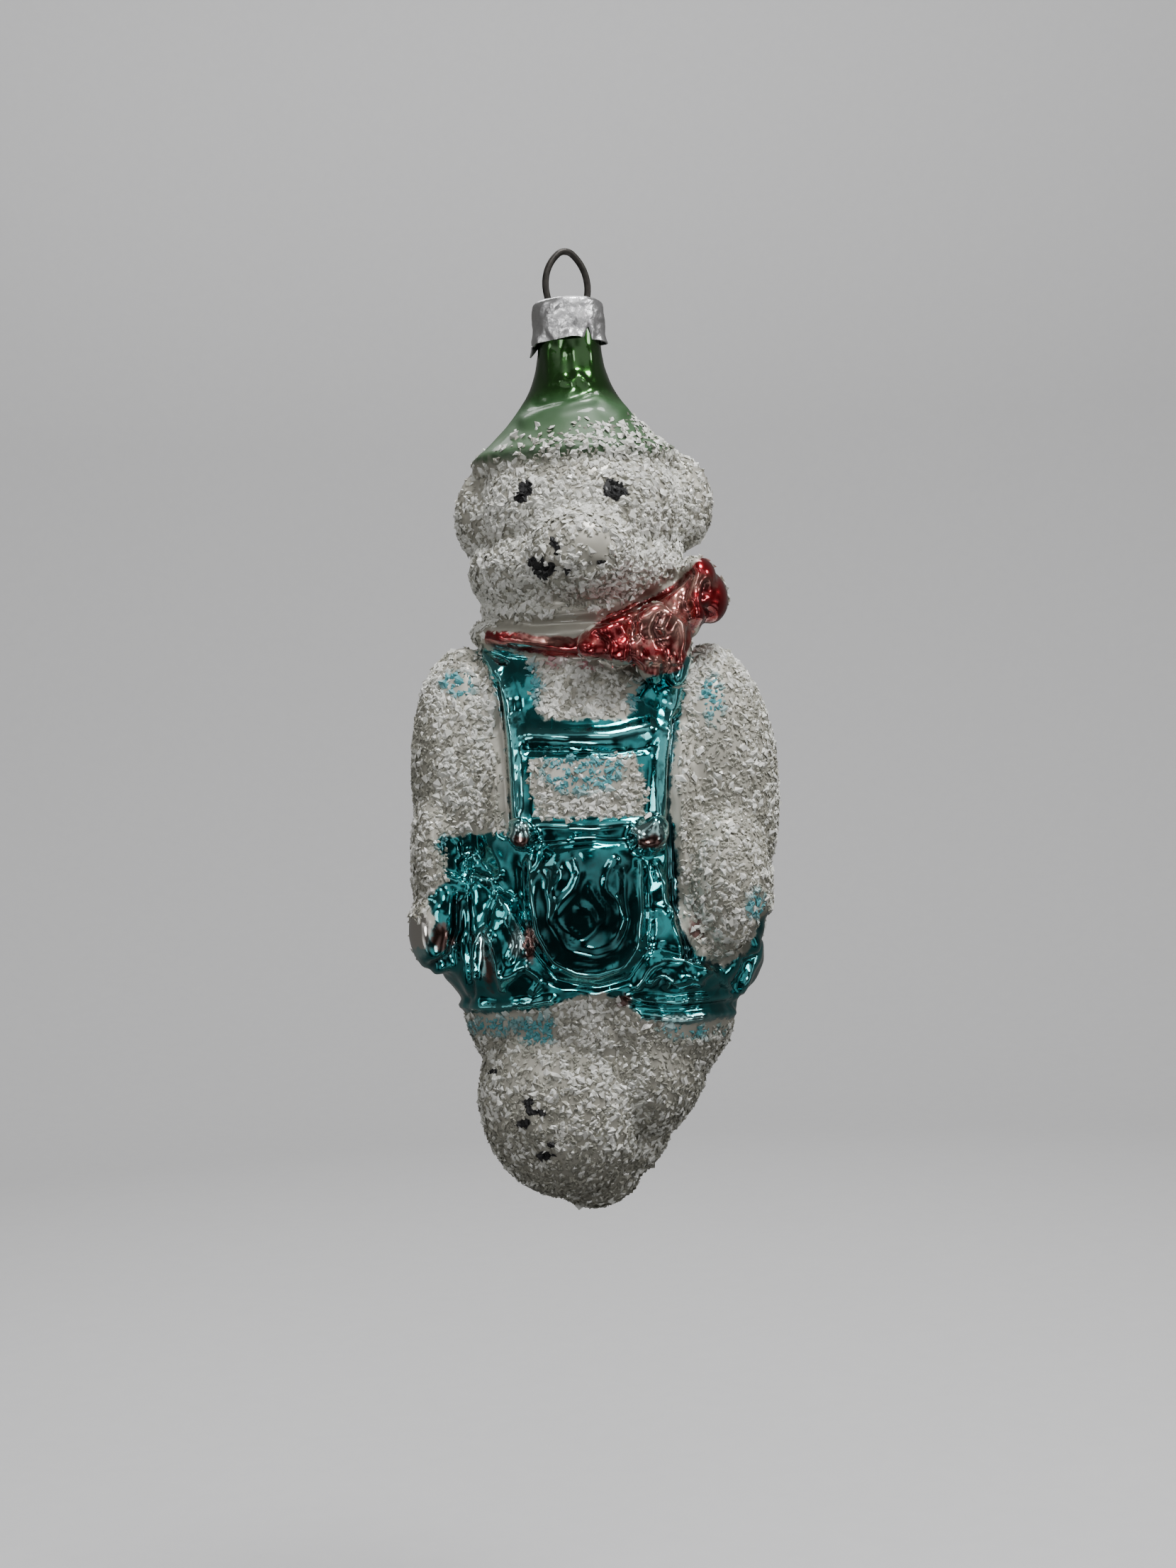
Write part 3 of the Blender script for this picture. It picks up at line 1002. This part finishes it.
class ORNAMENT_OT_stage(Operator):
    """Set the pale stage, the soft lights and the camera"""
    bl_idname = "ornament.stage"
    bl_label = "Stage"

    def execute(self, context):
        settings = context.scene.ornament_stage
        aim = Vector((AIM_X, 0, AIM_Z + LOOP_TOP)) * MM
        bowl = [(0.0, -190)] + [(500 + 300 * math.sin(a), 110 - 300 * math.cos(a)) for a in
                                np.linspace(0.0, math.pi / 2, 16)] + [(800, 900), (803, 900)]
        bowl += [(503 + 300 * math.sin(a), 107 - 300 * math.cos(a))
                 for a in np.linspace(math.pi / 2, 0.0, 16)]
        bowl += [(0.0, -193)]
        backdrop = lathe("paper_sweep", bowl, steps=72)
        backdrop.data.materials.append(stage_paper())
        make_active(backdrop)
        bpy.ops.object.shade_smooth()
        # The lights alone light the ornament, and its mirrored glass sees the dim room, not the paper
        backdrop.visible_diffuse = backdrop.visible_glossy = False
        self.add_light("key_light", (110, -150, 320), aim, 140, 2.2)
        self.add_light("side_light", (300, -90, 90), aim, 90, 0.26)
        self.add_light("fill_light", (-280, -120, 120), aim, 90, 0.06)
        self.add_light("back_light", (-120, 260, 330), aim, 200, 0.5)
        for place, power in SPARKLE_LIGHTS:
            self.add_light("sparkle_light", place, aim, 90, power)
        self.add_light("sweep_light", (0, 250, 500), Vector((0, 0.8, -0.05)), 400, 3.2)
        self.add_room()
        world = bpy.data.worlds.new("studio")
        world.use_nodes = True
        world.node_tree.nodes["Background"].inputs["Color"].default_value = (0.80, 0.79, 0.76, 1)
        world.node_tree.nodes["Background"].inputs["Strength"].default_value = 0.13
        context.scene.world = world
        camera_data = bpy.data.cameras.new("camera")
        camera_data.sensor_fit = "VERTICAL"
        camera_data.sensor_height = 24
        camera_data.lens = camera_data.sensor_height * settings.distance / settings.seen_height
        camera_data.clip_start = 0.01
        camera = bpy.data.objects.new("camera", camera_data)
        context.collection.objects.link(camera)
        upright = Matrix.Rotation(math.pi / 2, 4, "X")
        camera.matrix_world = (Matrix.Translation(aim - Vector((0, settings.distance, 0)))
                               @ Matrix.Rotation(settings.roll, 4, "Y") @ upright)
        context.scene.camera = camera
        return {"FINISHED"}

    @staticmethod
    def add_room():
        """The dim room in front, with a few pale patches, which only the mirrored glass sees."""
        clear_selection()
        bpy.ops.mesh.primitive_uv_sphere_add(segments=32, ring_count=16, radius=0.48, location=(0, 0, -0.06))
        room = take_new("dim_room")
        bpy.ops.object.mode_set(mode="EDIT")
        form = bmesh.from_edit_mesh(room.data)
        behind = [corner for corner in form.verts if corner.co.y > (-0.2 if corner.co.z > 0.05 else -0.02)]
        bmesh.ops.delete(form, geom=behind, context="VERTS")
        bmesh.update_edit_mesh(room.data)
        bpy.ops.object.mode_set(mode="OBJECT")
        room.visible_camera = room.visible_diffuse = room.visible_shadow = False
        look = Look("dim room", Roughness=0.9, Emission_Strength=1.0, Base_Color=(0.005, 0.005, 0.005, 1))
        patches = look.ramp(look.cloud(230 * MM, 0), 0.36, 0.7)
        room.data.materials.append(look.finish(Emission_Color=look.mix(patches, (0.025,) * 3, (0.75,) * 3)))

    @staticmethod
    def add_light(name, place, aim, width, power):
        data = bpy.data.lights.new(name, "AREA")
        data.shape = "DISK"
        data.size = width * MM
        data.energy = power
        light = bpy.data.objects.new(name, data)
        light.location = Vector(place) * MM
        light.rotation_euler = (aim - light.location).to_track_quat("-Z", "Y").to_euler()
        bpy.context.collection.objects.link(light)


class ORNAMENT_PT_sidebar(Panel):
    """The ornament's steps and settings"""
    bl_idname = "ORNAMENT_PT_sidebar"
    bl_label = "Glass Bear Ornament"
    bl_space_type = "VIEW_3D"
    bl_region_type = "UI"
    bl_category = "Ornament"

    def draw(self, context):
        for group, operator in ((context.scene.ornament_glass, ORNAMENT_OT_glass),
                                (context.scene.ornament_snow, ORNAMENT_OT_snow), (None, ORNAMENT_OT_cap),
                                (context.scene.ornament_stage, ORNAMENT_OT_stage)):
            if group:
                for key in group.__annotations__:
                    self.layout.prop(group, key)
            self.layout.operator(operator.bl_idname)


GROUPS = {"ornament_glass": GlassSettings, "ornament_snow": SnowSettings, "ornament_stage": StageSettings}
CLASSES = (*GROUPS.values(), ORNAMENT_OT_glass, ORNAMENT_OT_snow, ORNAMENT_OT_cap, ORNAMENT_OT_stage,
           ORNAMENT_PT_sidebar)


def register():
    for cls in CLASSES:
        bpy.utils.register_class(cls)
    for name, group in GROUPS.items():
        setattr(bpy.types.Scene, name, PointerProperty(type=group))


def unregister():
    for name in GROUPS:
        delattr(bpy.types.Scene, name)
    for cls in reversed(CLASSES):
        bpy.utils.unregister_class(cls)


def main():
    register()
    bpy.ops.ornament.stage()
    bpy.ops.ornament.glass()
    bpy.ops.ornament.snow()
    bpy.ops.ornament.cap()


if __name__ == "__main__":
    main()
